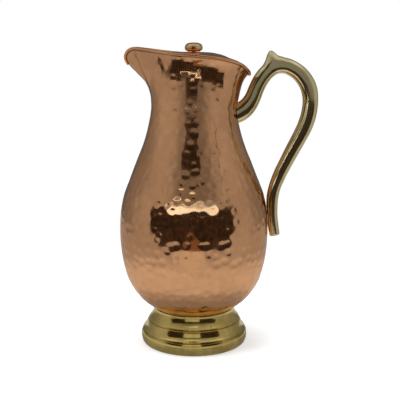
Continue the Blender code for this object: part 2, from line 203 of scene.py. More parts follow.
def linear(hex_colour):
    """The linear colour of an sRGB hex value."""
    parts = [int(hex_colour[i:i + 2], 16) / 255 for i in (0, 2, 4)]
    return tuple(c / 12.92 if c <= 0.04045 else ((c + 0.055) / 1.055) ** 2.4 for c in parts)


def metal_colour(name, description, hex_colour):
    """A colour that a user can change, from its sRGB hex value."""
    return FloatVectorProperty(
        name=name, description=description, subtype="COLOR", default=linear(hex_colour)
    )


class JugSizes(bpy.types.PropertyGroup):
    """Sizes of the hammer marks and of the meshes."""

    dent_pitch: FloatProperty(
        name="Mark pitch", description="Distance between hammer marks", default=0.0094, unit="LENGTH"
    )
    dent_width: FloatProperty(
        name="Mark width", description="Width of a hammer mark", default=0.0080, unit="LENGTH"
    )
    dent_depth: FloatProperty(
        name="Mark depth", description="Depth of a hammer mark", default=0.00034, unit="LENGTH"
    )
    waver: FloatProperty(
        name="Waver", description="Unevenness of the raised wall", default=0.00014, unit="LENGTH"
    )
    columns: IntProperty(
        name="Columns", description="Mesh columns around the vessel", default=336, min=48
    )


class JugColours(bpy.types.PropertyGroup):
    """Colours of the metals, and of the painted shade under the rim's roll."""

    copper: metal_colour("Copper", "Freshly polished copper", "F6B986")
    copper_deep: metal_colour("Deep copper", "Handled, slightly tarnished copper", "DCA478")
    brass: metal_colour("Cast brass", "Polished cast brass", "F2E2AE")
    brass_deep: metal_colour("Deep cast brass", "Cast brass dulled by handling", "D2C08C")
    knob: metal_colour("Turned copper", "Polished turned copper", "F9CE98")
    knob_deep: metal_colour("Deep turned copper", "Turned copper dulled by air", "E0AE7C")
    # Painted shade: the dark colour laid in the crease under the rim's roll
    rim_shade: metal_colour("Painted rim shade", "Painted shade in the crease under the rim's roll", "6B3F2C")
    turned: metal_colour("Turned brass", "Polished turned brass", "E6CB7E")
    turned_deep: metal_colour("Deep turned brass", "Turned brass dulled by air", "B89E56")
    steel: metal_colour("Steel", "Drawn steel wire", "C9C7C2")
    steel_deep: metal_colour("Deep steel", "Drawn steel dulled by the die", "8E8B86")


class StageSettings(bpy.types.PropertyGroup):
    """Camera and light."""

    eye: FloatVectorProperty(
        name="Camera place", description="Where the camera stands",
        subtype="TRANSLATION", default=(-0.017336, -0.8, 0.296),
    )
    pitch: FloatProperty(
        name="Camera pitch", description="How far the camera looks down",
        subtype="ANGLE", default=0.189783,
    )
    field: FloatProperty(
        name="Field of view", description="The camera's angle of view", subtype="ANGLE", default=0.472
    )
    room: FloatProperty(
        name="Room light", description="Brightness of the studio's walls", default=0.43
    )
    back: FloatProperty(
        name="Back", description="Share of the walls' light that the wall behind the jug gives", default=0.62
    )
    ceiling: FloatProperty(name="Ceiling light", description="Brightness overhead", default=1.15)
    table: FloatProperty(
        name="Table light", description="Brightness of the lit table", default=0.66
    )


# ---------------------------------------------------------------- curves and surfaces


def smooth_curve(points, per_span, closed=False):
    """Catmull-Rom curve: on each span a cubic in t through its two ends, with slopes of half the step
    between the points on either side."""
    p = np.asarray(points, float)
    if closed:
        p = np.vstack([p[-1:], p, p[:2]])
    else:
        p = np.vstack([2 * p[0] - p[1], p, 2 * p[-1] - p[-2]])
    t = np.linspace(0, 1, per_span, endpoint=False)[None, :, None]
    a, b, c, d = p[:-3, None], p[1:-2, None], p[2:-1, None], p[3:, None]
    curve = 0.5 * (2 * b + (c - a) * t + (2 * a - 5 * b + 4 * c - d) * t**2 + (3 * b - a - 3 * c + d) * t**3)
    curve = curve.reshape(-1, p.shape[1])
    return curve if closed else np.vstack([curve, p[-2:-1]])


def even_points(curve, count, closed=True):
    """`count` points at equal lengths along a curve, measured on its first three values."""
    line = np.vstack([curve, curve[:1]]) if closed else curve
    steps = np.linalg.norm(np.diff(line[:, :3], axis=0), axis=1)
    along = np.concatenate([[0], np.cumsum(steps)])
    wanted = np.linspace(0, along[-1], count, endpoint=not closed)
    return np.stack([np.interp(wanted, along, line[:, k]) for k in range(line.shape[1])], axis=1)


def unit(v):
    """Each vector over its own length."""
    return v / np.maximum(np.linalg.norm(v, axis=-1, keepdims=True), 1e-12)


def smooth_step(x):
    """0 below 0, 1 above 1 and 3x^2 - 2x^3 between."""
    x = np.clip(x, 0, 1)
    return x * x * (3 - 2 * x)


def grid_normals(points):
    """Unit cross product of the steps around and along, on a grid that is closed around."""
    around = np.roll(points, -1, axis=1) - np.roll(points, 1, axis=1)
    along = np.gradient(points, axis=0)
    return unit(np.cross(around, along))


def fillet(corners, radius, flat_points=0):
    """A closed polygon with each corner P replaced by the ends and middle of a quadratic curve, whose
    ends lie `radius` from P towards its neighbours, plus evenly spaced points on the flats."""
    towards_last = np.roll(corners, 1, axis=-2) - corners
    towards_next = np.roll(corners, -1, axis=-2) - corners
    length_last = np.linalg.norm(towards_last, axis=-1, keepdims=True)
    length_next = np.linalg.norm(towards_next, axis=-1, keepdims=True)
    before = corners + towards_last * np.minimum(radius / np.maximum(length_last, 1e-9), 0.4)
    after = corners + towards_next * np.minimum(radius / np.maximum(length_next, 1e-9), 0.4)
    middle = (before + 2 * corners + after) / 4
    rows = [before, middle, after]
    following = np.roll(before, -1, axis=-2)
    rows += [after + (following - after) * k / (flat_points + 1) for k in range(1, flat_points + 1)]
    stacked = np.stack(rows, axis=-2)
    return stacked.reshape(*corners.shape[:-2], -1, corners.shape[-1])


def dents(along, radius, angle, pitch, width, seed):
    """Round hammer marks in rings one pitch apart, each ring with as many as fit its girth, all moved a
    little off their places: 1 - (distance / half width)^2 inside a mark, and 0 outside every mark."""
    rng = np.random.default_rng(seed)
    rings = int(along.max() / pitch) + 3
    ring_at = (np.arange(rings) + 0.5) * pitch
    order = np.argsort(along.mean(axis=1))
    girth = TURN * np.interp(ring_at, along.mean(axis=1)[order], radius.mean(axis=1)[order])
    count = np.maximum(np.round(girth / pitch), 5).astype(int)
    off = rng.uniform(-MARK_STRAY, MARK_STRAY, (rings, count.max(), 2))
    size = rng.uniform(*MARK_SIZES, (rings, count.max()))
    phase = rng.uniform(0, 1, rings)
    result = np.zeros_like(along)
    ring0 = np.floor(along / pitch).astype(int)
    for di in (-1, 0, 1):
        ring = np.clip(ring0 + di, 0, rings - 1)
        turn_place = angle / TURN * count[ring] + phase[ring]
        place0 = np.floor(turn_place).astype(int)
        for dj in (-1, 0, 1):
            column = (place0 + dj) % count[ring]
            ds = along - (ring + 0.5 + off[ring, column, 0]) * pitch
            da = (turn_place - (place0 + dj + 0.5 + off[ring, column, 1])) / count[ring] * TURN * radius
            half = width / 2 * size[ring, column]
            result = np.maximum(result, size[ring, column] * (1 - (ds**2 + da**2) / half**2))
    return result


def waver(along, angle, length, seed):
    """Long soft waves: a sum of sines in the turn angle and in the length along the wall."""
    rng = np.random.default_rng(seed)
    result = np.zeros_like(along)
    for turns in (2, 3, 5, 7, 9, 12):
        start = rng.uniform(0, TURN, 2)
        waves = rng.uniform(1.0, 5.0)
        result += np.sin(turns * angle + start[0]) * np.sin(waves * TURN * along / length + start[1]) / 3
    return result


# ---------------------------------------------------------------- the vessel's surface


def rim_frames(columns):
    """The wire's middle, the wall's direction into the rim and the way to the inside, column by column.

    The direction is sin(flare) outward plus cos(flare) up, eased to the trough's own over the spout."""
    half = [list(p) for p in RIM]
    mirrored = [[x, -y, z, flare] for x, y, z, flare in half[-2:0:-1]]
    frames = even_points(smooth_curve(half + mirrored, RIM_STEPS, closed=True), columns)
    centre, flare = frames[:, :3], np.radians(frames[:, 3:])
    tangent = unit(np.roll(centre, -1, axis=0) - np.roll(centre, 1, axis=0))
    up = np.array([0.0, 0.0, 1.0])
    outward = unit(np.cross(tangent, up))
    wanted = np.sin(flare) * outward + np.cos(flare) * up
    share = smooth_step((centre[:, :1] - TROUGH_FROM) / (TROUGH_TO - TROUGH_FROM))
    wanted = (1 - share) * wanted + share * np.array(TROUGH_AXIS)
    climb = unit(wanted - np.sum(wanted * tangent, axis=1, keepdims=True) * tangent)
    return centre + RIM_LIFT * climb, climb, np.cross(climb, tangent)


def vessel_skin(columns, row_step, curl_rows):
    """The vessel's outer skin as (wall rows, curl rows) of points.

    Turned part: the outline spun about the axis. Throat: in each column a cubic Bezier from the turned
    part's top to the rim, eased at the two sides to a quintic one that stays upright for longer.
    Curl: a circle about the wire, through three quarters of a turn."""
    centre, climb, inward = rim_frames(columns)
    angle = np.arctan2(centre[:, 1], centre[:, 0])
    around = np.stack([np.cos(angle), np.sin(angle), np.zeros_like(angle)], axis=1)
    up = np.array([0.0, 0.0, 1.0])
    fine = smooth_curve(BODY_OUTLINE[2:] + (OUTLINE_NEXT,), OUTLINE_STEPS)[:-OUTLINE_STEPS]
    outline = np.vstack([BODY_OUTLINE[:2], fine])
    length = np.linalg.norm(np.diff(outline, axis=0), axis=1).sum()
    flat = np.column_stack([outline, np.zeros(len(outline))])
    outline = even_points(flat, int(length / row_step) + 1, closed=False)[:, :2]
    turned = outline[:, :1, None] * around + outline[:, 1:, None] * up
    start = turned[-1]
    end = centre + CURL_RADIUS * inward
    front = (1 - np.cos(angle))[:, None] / 2
    rise = THROAT_RISE[0] + (THROAT_RISE[1] - THROAT_RISE[0]) * front
    reach = THROAT_REACH[0] + (THROAT_REACH[1] - THROAT_REACH[0]) * front
    lean = THROAT_LEAN + (BACK_LEAN - THROAT_LEAN) * np.clip(np.cos(angle), 0, 1)[:, None]
    first = start + rise * (np.sin(lean) * around + np.cos(lean) * up)
    nose = smooth_step((front - NOSE_FROM) / NOSE_OVER)
    wide = np.clip(5 * np.sin(angle)[:, None], -1, 1) * np.array([0.0, 1.0, 0.0])
    second = end - reach * climb + nose * (NOSE_SWELL * wide - NOSE_DROP * inward)
    span = np.linalg.norm(end - start, axis=1).mean()
    t = np.linspace(0, 1, int(span / row_step) + 1)[1:, None, None]
    s = 1 - t
    throat = s**3 * start + 3 * s * s * t * first + 3 * s * t * t * second + t**3 * end
    way = math.sin(THROAT_LEAN) * around + math.cos(THROAT_LEAN) * up
    stops = [start + SIDE_RISE * k / 3 * way for k in range(4)] + [end - SIDE_REACH * climb, end]
    quintic = sum(math.comb(5, k) * s ** (5 - k) * t**k * stop for k, stop in enumerate(stops))
    side = np.sin(angle)[:, None] ** 2
    throat = (1 - side) * throat + side * quintic
    a = np.linspace(0, CURL_SWEEP, curl_rows + 1)[1:, None, None]
    curl = centre + CURL_RADIUS * (np.cos(a) * inward + np.sin(a) * climb)
    return np.concatenate([turned, throat]), curl


# ---------------------------------------------------------------- meshes and pieces


def grid_mesh(name, points, along=False, attribute=None):
    """A mesh of quads between neighbours on a grid that is closed around, and closed along if asked.

    Points that fall together, as at a pole, are merged."""
    rows, columns = points.shape[:2]
    placed = (points + np.array([AXIS_X, 0.0, 0.0])) * MM
    i = np.arange(rows if along else rows - 1)[:, None]
    j = np.arange(columns)[None, :]
    below, above = i * columns, (i + 1) % rows * columns
    beside = (j + 1) % columns
    faces = np.stack([below + j, below + beside, above + beside, above + j], axis=-1).reshape(-1, 4)
    mesh = bpy.data.meshes.new(name)
    mesh.from_pydata(placed.reshape(-1, 3), [], faces)
    if attribute is not None:
        layer = mesh.attributes.new("dent_and_shade", "FLOAT", "POINT")
        layer.data.foreach_set("value", attribute.reshape(-1).astype(np.float32))
    return mesh


def tidy_mesh(mesh, merge=1e-7):
    """Merges points that fall together and turns every face outwards."""
    bm = bmesh.new()
    bm.from_mesh(mesh)
    bmesh.ops.remove_doubles(bm, verts=bm.verts, dist=merge)
    bmesh.ops.recalc_face_normals(bm, faces=bm.faces)
    bm.to_mesh(mesh)
    bm.free()
    return mesh


def add_piece(name, mesh, material, body, node, smooth_below=SMOOTH_BELOW):
    """A finished piece that rides on a body, replaces a CAD node and takes a slot's finish."""
    mesh.materials.append(material)
    mesh.shade_smooth()
    mesh.set_sharp_from_angle(angle=math.radians(smooth_below))
    piece = bpy.data.objects.new(name, mesh)
    bpy.context.scene.collection.objects.link(piece)
    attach(piece, body)
    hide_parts(node)
    return piece


def spun(profile, segments):
    """Points of a (radius, height) profile spun about the axis."""
    angle = np.linspace(0, TURN, segments, endpoint=False)
    ring = np.stack([np.cos(angle), np.sin(angle), np.zeros_like(angle)], axis=1)
    return profile[:, :1, None] * ring + profile[:, 1:, None] * np.array([0.0, 0.0, 1.0])


def turned_mesh(name, runs, segments, edge=0.18):
    """A lathe-turned surface: a profile of smooth runs that meet at filleted corners, spun about the axis."""
    corners, curved = [], []
    for run in runs:
        points = smooth_curve(run, 4) if len(run) > 2 else np.array(run, float)
        corners.extend(points)
        curved.extend([0.0] + [1.0] * (len(points) - 2) + [0.0] if len(points) > 2 else [0.0] * len(points))
    corners, curved = np.array(corners), np.array(curved, bool)
    rounded = fillet(corners, edge).reshape(len(corners), 3, 2)
    on_axis = corners[:, 0] < 1e-6
    profile = np.concatenate([
        corners[k:k + 1] if curved[k] or on_axis[k] else rounded[k] for k in range(len(corners))
    ])
    closed = not (on_axis[0] and on_axis[-1])
    return tidy_mesh(grid_mesh(name, spun(profile, segments), along=closed))


# ---------------------------------------------------------------- materials


def add(tree, kind, inputs=None, **settings):
    """Adds a node: settings are its properties, and inputs give a socket a value or a socket to read."""
    node = tree.nodes.new(kind)
    for name, value in settings.items():
        setattr(node, name, value)
    for socket, value in (inputs or {}).items():
        if isinstance(value, bpy.types.NodeSocket):
            tree.links.new(value, node.inputs[socket])
        else:
            node.inputs[socket].default_value = value
    return node


def bare_metal(name):
    """A new material with a metallic shader; returns it, its tree, its shader and object coordinates."""
    material = bpy.data.materials.new(name)
    material.use_nodes = True
    tree = material.node_tree
    shader = tree.nodes["Principled BSDF"]
    shader.inputs["Metallic"].default_value = 1.0
    place = tree.nodes.new("ShaderNodeTexCoord").outputs["Object"]
    return material, tree, shader, place


def rgba(colour):
    """The colour with full opacity."""
    return (*colour, 1.0)


def blend(tree, share, light, deep):
    """The colour on the way from light to deep by a share; each is a colour or a socket to read."""
    ends = {0: share, 6: light, 7: deep}
    return add(tree, "ShaderNodeMix", ends, data_type="RGBA").outputs[2]


def dullness(tree, shader, share, span, rough):
    """Roughness from rough[0] to rough[1] as the share goes from span[0] to span[1]."""
    ends = {0: share, 1: span[0], 2: span[1], 3: rough[0], 4: rough[1]}
    tree.links.new(add(tree, "ShaderNodeMapRange", ends).outputs[0], shader.inputs["Roughness"])


def hammered_copper(colours):
    """Sheet copper raised with a planishing hammer and polished: a warm satin mirror that breaks up into a
    disc of light in each mark, helped by a painted highlight that makes each mark a lighter copper; pinker
    where it is bright, browner where hands and air dull it, and darkened by a painted shade line under the
    rim's roll."""
    material, tree, shader, place = bare_metal("copper_planished_and_polished")
    # Patches of tarnish about 45 mm across, and mottling about 7 mm across
    patches = add(
        tree, "ShaderNodeTexNoise", {"Vector": place, "Scale": 22.0, "Detail": 4.0, "Roughness": 0.55},
    )
    mottle = add(
        tree, "ShaderNodeTexNoise", {"Vector": place, "Scale": 140.0, "Detail": 5.0, "Roughness": 0.62},
    )
    dull = add(tree, "ShaderNodeMapRange", {0: patches.outputs[0], 1: 0.35, 2: 0.7, 3: 0.0, 4: 0.75})
    mark = add(tree, "ShaderNodeAttribute", attribute_name="dent_and_shade")
    # Painted highlight: each hammer mark is painted a lighter copper than the ground between the marks, and
    # is also made glossier
    painted_mark_sheen = add(tree, "ShaderNodeMapRange", {0: mark.outputs["Fac"], 1: 0.0, 2: 1.0, 3: 0.16, 4: 0.0})
    speck = add(tree, "ShaderNodeMapRange", {0: mottle.outputs[0], 1: 0.4, 2: 0.75, 3: 0.0, 4: 0.45})
    both = add(tree, "ShaderNodeMath", {0: dull.outputs[0], 1: speck.outputs[0]}, operation="ADD")
    share = add(
        tree, "ShaderNodeMath", {0: both.outputs[0], 1: painted_mark_sheen.outputs[0]},
        operation="ADD", use_clamp=True,
    )
    colour = blend(tree, share.outputs[0], rgba(colours.copper), rgba(colours.copper_deep))
    # Painted shade in the crease under the rim's roll, where the attribute passes 1
    rim_shade = add(tree, "ShaderNodeMapRange", {0: mark.outputs["Fac"], 1: 1.0, 2: 2.0, 3: 0.0, 4: 0.8})
    rim_shaded = blend(tree, rim_shade.outputs[0], colour, rgba(colours.rim_shade))
    tree.links.new(rim_shaded, shader.inputs["Base Color"])
    shader.inputs["Specular Tint"].default_value = COPPER_EDGE_TINT
    dullness(tree, shader, share.outputs[0], (0.0, 1.0), (0.07, 0.15))
    # Hammer-face grain about 1.2 mm across
    grain = add(tree, "ShaderNodeTexNoise", {"Vector": place, "Scale": 830.0, "Detail": 2.0})
    ripple = add(tree, "ShaderNodeTexNoise", {"Vector": place, "Scale": 210.0, "Detail": 2.0})
    coarse = add(tree, "ShaderNodeBump", {"Height": ripple.outputs[0], "Strength": 0.16, "Distance": 0.0004})
    bump = add(
        tree, "ShaderNodeBump",
        {"Height": grain.outputs[0], "Strength": 0.08, "Distance": 0.0001, "Normal": coarse.outputs[0]},
    )
    tree.links.new(bump.outputs[0], shader.inputs["Normal"])
    return material


def cast_brass(colours):
    """Brass cast in sand, filed to its flats and buffed: a deep mirror that is slightly uneven, with a
    film of olive tarnish that is thickest where fingers don't rub."""
    material, tree, shader, place = bare_metal("brass_cast_and_buffed")
    patches = add(
        tree, "ShaderNodeTexNoise", {"Vector": place, "Scale": 45.0, "Detail": 5.0, "Roughness": 0.6},
    )
    share = add(tree, "ShaderNodeMapRange", {0: patches.outputs[0], 1: 0.35, 2: 0.7, 3: 0.0, 4: 0.9})
    colour = blend(tree, share.outputs[0], rgba(colours.brass), rgba(colours.brass_deep))
    tree.links.new(colour, shader.inputs["Base Color"])
    dullness(tree, shader, share.outputs[0], (0.0, 1.0), (0.09, 0.15))
    # File waves about 6 mm long and casting grain about 0.8 mm across
    waves = add(tree, "ShaderNodeTexNoise", {"Vector": place, "Scale": 160.0, "Detail": 1.0})
    grain = add(tree, "ShaderNodeTexNoise", {"Vector": place, "Scale": 1250.0, "Detail": 2.0})
    wavy = add(tree, "ShaderNodeBump", {"Height": waves.outputs[0], "Strength": 0.10, "Distance": 0.0004})
    bump = add(
        tree, "ShaderNodeBump",
        {"Height": grain.outputs[0], "Strength": 0.012, "Distance": 0.0001, "Normal": wavy.outputs[0]},
    )
    tree.links.new(bump.outputs[0], shader.inputs["Normal"])
    return material


def lathe_turned(name, light, deep):
    """Metal turned on a lathe: fine rings from the tool that smear highlights up and down. The real
    rings are about 0.2 mm apart; they are drawn 0.9 mm apart so that they show."""
    material, tree, shader, place = bare_metal(name)
    patches = add(
        tree, "ShaderNodeTexNoise", {"Vector": place, "Scale": 50.0, "Detail": 5.0, "Roughness": 0.6},
    )
    split = add(tree, "ShaderNodeSeparateXYZ", {0: place})
    height = add(tree, "ShaderNodeCombineXYZ", {2: split.outputs[2]})
    rings = add(tree, "ShaderNodeTexNoise", {"Vector": height.outputs[0], "Scale": 1100.0, "Detail": 1.0})
    share = add(tree, "ShaderNodeMapRange", {0: patches.outputs[0], 1: 0.35, 2: 0.7, 3: 0.1, 4: 1.0})
    tree.links.new(blend(tree, share.outputs[0], rgba(light), rgba(deep)), shader.inputs["Base Color"])
    dullness(tree, shader, rings.outputs[0], (0.3, 0.7), (0.10, 0.17))
    bump = add(tree, "ShaderNodeBump", {"Height": rings.outputs[0], "Strength": 0.10, "Distance": 0.0001})
    tree.links.new(bump.outputs[0], shader.inputs["Normal"])
    return material


def turned_brass(colours):
    """The foot's brass, turned on a lathe: yellower than the cast handle, because it is sheet brass."""
    return lathe_turned("brass_turned", colours.turned, colours.turned_deep)


def turned_copper(colours):
    """The knob's copper, turned on a lathe: lighter than the body, because hands keep it polished."""
    return lathe_turned("copper_turned", colours.knob, colours.knob_deep)


def dull_metal(name, noise, light, deep, dull, depth):
    """Metal left as it came off the tool: one noise drives its colour, its dullness and its relief."""
    material, tree, shader, place = bare_metal(name)
    swirl = add(tree, "ShaderNodeTexNoise", {"Vector": place, "Scale": noise[0], "Detail": noise[1]})
    tree.links.new(blend(tree, swirl.outputs[0], rgba(light), rgba(deep)), shader.inputs["Base Color"])
    dullness(tree, shader, swirl.outputs[0], (0.3, 0.7), dull)
    bump = add(tree, "ShaderNodeBump", {"Height": swirl.outputs[0], "Strength": 0.2, "Distance": depth})
    tree.links.new(bump.outputs[0], shader.inputs["Normal"])
    return material


def screw_brass(colours):
    """Machine-cut brass, left as it came off the tool: dull, with faint swirls about 1 mm across."""
    return dull_metal(
        "brass_machine_cut", (900.0, 3.0), colours.brass, colours.brass_deep, (0.28, 0.42), 0.0001
    )


def drawn_steel(colours):
    """Bright drawn steel wire: grey, with dull streaks about 2 mm long where the die wore."""
    return dull_metal(
        "steel_drawn_wire", (500.0, 2.0), colours.steel, colours.steel_deep, (0.3, 0.5), 0.00008
    )


MAKERS = {
    "copper_planished_and_polished": hammered_copper,
    "brass_cast_and_buffed": cast_brass,
    "brass_turned": turned_brass,
    "copper_turned": turned_copper,
    "brass_machine_cut": screw_brass,
    "steel_drawn_wire": drawn_steel,
}


def metal(name):
    """The named material, made on first use."""
    return bpy.data.materials.get(name) or MAKERS[name](bpy.context.scene.jug_colours)


# ---------------------------------------------------------------- operators


class JUG_OT_vessel(bpy.types.Operator):
    """Build the hammered copper vessel with its rolled rim and the wire inside it"""

    bl_idname = "jug.vessel"
    bl_label = "Vessel"

    def execute(self, context):
        """Outer skin with hammer marks, then the inner skin one wall thickness inside it, row by row back."""
        sizes = context.scene.jug_sizes
        wall, curl = vessel_skin(sizes.columns, ROW_STEP, CURL_ROWS)
        smooth = np.concatenate([wall, curl])
        normal = grid_normals(smooth)
        steps = np.linalg.norm(np.diff(wall, axis=0), axis=2)
        along = np.concatenate([np.zeros((1, sizes.columns)), np.cumsum(steps, axis=0)])
        radius = np.hypot(wall[..., 0], wall[..., 1])
        angle = np.arctan2(wall[..., 1], wall[..., 0]) % TURN
        total = along[-1]
        marks = dents(along, radius, angle, sizes.dent_pitch / MM, sizes.dent_width / MM, seed=11)
        fade = smooth_step((along - FADE_BASE[0]) / FADE_BASE[1])
        fade = fade * smooth_step((total - along - FADE_RIM[0]) / FADE_RIM[1])
        wave = waver(along, angle, total.mean(), seed=5) * sizes.waver / MM
        wide = smooth_step((radius - SHALLOW_RADIUS) / (DEEP_RADIUS - SHALLOW_RADIUS))
        depth = sizes.dent_depth / MM * (0.5 + 0.5 * wide)
        shift = -(marks * depth - wave) * fade
        outer = smooth.copy()
        outer[:len(wall)] += shift[..., None] * normal[:len(wall)]
        sheet = np.full(smooth.shape[:2], WALL)
        sheet[:len(wall)] += (RIM_SHEET - WALL) * smooth_step(1 - (total - along) / THINNING_LENGTH)
        sheet[len(wall):] = RIM_SHEET
        inner = smooth - sheet[..., None] * normal
        fine = len(wall) - INNER_FINE_ROWS
        kept = np.r_[np.arange(0, fine, INNER_STEP), np.arange(fine, len(smooth))]
        back = inner[kept][::-1]
        # Painted shade: the attribute passes 1 in a line under the rim's roll, which darkens the copper there
        crease_shade = 2 * smooth_step((SHADE_REACH + SHADE_FADE - (total - along)) / SHADE_FADE)
        dent_and_shade = np.concatenate([marks * fade + crease_shade, np.zeros((len(curl) + len(back), sizes.columns))])
        mesh = grid_mesh("vessel", np.concatenate([outer, back]), along=True, attribute=dent_and_shade)
        copper = metal("copper_planished_and_polished")
        add_piece("vessel", mesh, copper, "jug", "body_shell", smooth_below=VESSEL_SMOOTH)
        centre, climb, inward = rim_frames(sizes.columns)
        a = np.linspace(0, TURN, TUBE_SIDES, endpoint=False)[None, :, None]
        tube = centre[:, None] + WIRE_RADIUS * (np.cos(a) * inward[:, None] + np.sin(a) * climb[:, None])
        wire = tidy_mesh(grid_mesh("rim_wire_drawn", tube, along=True))
        add_piece("rim_wire_drawn", wire, metal("steel_drawn_wire"), "jug", "rim_wire")
        return {"FINISHED"}


class JUG_OT_lid(bpy.types.Operator):
    """Build the hammered lid, the collar under it and its knob"""

    bl_idname = "jug.lid"
    bl_label = "Lid"

    def execute(self, context):
        """Plate: height falls from the apex by the cube of the share of the way to the edge."""
        sizes = context.scene.jug_sizes
        angle, reach, edge_z = lid_edge(LID_COLUMNS)
        share = np.linspace(0, 1, LID_RINGS)[:, None]
        radius = LID_HOLE + (reach - LID_HOLE) * share
        low = lid_underside(radius, reach, edge_z)
        marks = dents(radius, radius, np.broadcast_to(angle, radius.shape), sizes.dent_pitch / MM,
                      sizes.dent_width / MM, seed=23)
        fade = smooth_step((reach - radius) / FADE_LID_EDGE)
        fade = fade * smooth_step((radius - FADE_KNOB[0]) / FADE_KNOB[1])
        high = low + LID_SHEET - marks * fade * sizes.dent_depth / MM
        ring = np.stack([np.cos(angle), np.sin(angle)], axis=1)
        top = np.concatenate([radius[..., None] * ring, high[..., None]], axis=2)
        bottom = np.concatenate([radius[..., None] * ring, low[..., None]], axis=2)
        edge = (top[-1] + bottom[-1])[None] / 2
        edge[..., :2] *= (reach + LID_EDGE_ROLL)[None, :, None] / reach[None, :, None]
        points = np.concatenate([bottom, edge, top[::-1]])
        dent_and_shade = np.concatenate([np.zeros((LID_RINGS + 1, LID_COLUMNS)), (marks * fade)[::-1]])
        copper = metal("copper_planished_and_polished")
        plate = grid_mesh("lid_plate_skin", points, along=True, attribute=dent_and_shade)
        add_piece("lid_plate_skin", tidy_mesh(plate), copper, "lid", "lid_plate")
        strip = collar_mesh(angle, lid_underside(COLLAR_RADIUS, reach, edge_z) - 2 * GAP)
        add_piece("lid_collar_strip", strip, copper, "lid", "lid_collar")
        knob = turned_mesh("lid_knob_turned", KNOB_RUNS, KNOB_SEGMENTS, edge=0.3)
        add_piece("lid_knob_turned", knob, metal("copper_turned"), "lid", "lid_knob")
        return {"FINISHED"}


def lid_edge(columns):
    """The lid's edge by turn angle: inside the rim all round, cut short with a tongue over the spout."""
    centre, climb, inward = rim_frames(COARSE_COLUMNS)
    seat = centre + (LID_INSET + GAP) * inward - (LID_DROP + RIM_LIFT) * climb
    seat = seat[(seat[:, 0] > TONGUE_START_X) & (centre[:, 1] > -GAP)]
    seat = seat[np.argsort(np.arctan2(seat[:, 1], seat[:, 0]))]
    half = np.vstack([seat, LID_TONGUE])
    other = half[-2:0:-1] * np.array([1, -1, 1])
    loop = smooth_curve(np.vstack([half, other]), LID_EDGE_STEPS, closed=True)
    turn = np.unwrap(np.arctan2(loop[:, 1], loop[:, 0]))
    wanted = np.linspace(0, TURN, columns, endpoint=False)
    reach = np.interp(wanted, turn, np.hypot(loop[:, 0], loop[:, 1]), period=TURN)
    height = np.interp(wanted, turn, loop[:, 2], period=TURN)
    return wanted, reach, height


def lid_underside(radius, reach, height):
    """Height of the lid's underside: level in the middle, falling or rising as a cube to the edge."""
    return LID_APEX_Z + (height - LID_APEX_Z) * (radius / reach) ** 3


def collar_mesh(angle, top):
    """The collar: a thin rectangle with filleted corners, carried round a circle, cut to the lid above."""
    corners = []
    for inset, z in ((0, COLLAR_FOOT_Z), (0, top), (COLLAR_SHEET, top), (COLLAR_SHEET, COLLAR_FOOT_Z)):
        r = COLLAR_RADIUS - inset
        height = np.broadcast_to(z, angle.shape)
        corners.append(np.stack([r * np.cos(angle), r * np.sin(angle), height], axis=1))
    section = fillet(np.stack(corners, axis=1), COLLAR_EDGE, flat_points=2)
    return tidy_mesh(grid_mesh("lid_collar_strip", section.transpose(1, 0, 2), along=True))


class JUG_OT_handle(bpy.types.Operator):
    """Build the cast brass handle, saddled to the vessel"""

    bl_idname = "jug.handle"
    bl_label = "Handle"

    def execute(self, context):
        """The handle's surface, with the vessel's outline cut out of it where the two meet."""
        mesh = tidy_mesh(grid_mesh("handle_cast", handle_surface()))
        handle = add_piece("handle_cast", mesh, metal("brass_cast_and_buffed"), "jug", "handle")
        tool = bpy.data.objects.new("saddle_space", saddle_mesh())
        context.scene.collection.objects.link(tool)
        cut = handle.modifiers.new("saddle", "BOOLEAN")
        cut.operation = "DIFFERENCE"
        cut.object = tool
        finished = bpy.data.meshes.new_from_object(handle.evaluated_get(context.evaluated_depsgraph_get()))
        handle.modifiers.clear()
        handle.data = finished
        handle.data.name = "handle_cast"
        handle.data.shade_smooth()
        handle.data.set_sharp_from_angle(angle=math.radians(SMOOTH_BELOW))
        bpy.data.objects.remove(tool)
        return {"FINISHED"}


def handle_section(inner, outer, thick):
    """The handle's section at each station: eight corners, the outer two drawn together where the thumb
    rest rises, filleted, and then crowned by pulling every point towards an ellipse."""
    sharp = np.clip(THUMB_REST_REACH / outer, 0, 1) ** 3
    soft = CHAMFER * np.minimum(inner, thick)
    crest = np.minimum(outer, THUMB_REST_REACH) - soft
    flat = (thick - soft) * sharp
    half_section = ((-inner, thick - soft), (-(inner - soft), thick), (crest, thick), (outer, flat))
    near = [np.stack([out, -side], axis=1) for out, side in half_section]
    far = [np.stack([out, side], axis=1) for out, side in half_section[::-1]]
    loops = fillet(np.stack(near + far, axis=1), HANDLE_CORNER, flat_points=3)
    half = np.where(loops[..., 0] > 0, outer[:, None], inner[:, None])
    spread = np.hypot(loops[..., 0] / half, loops[..., 1] / thick[:, None])
    return loops * (1 - HANDLE_CROWN + HANDLE_CROWN / np.maximum(spread, 0.5))[..., None]


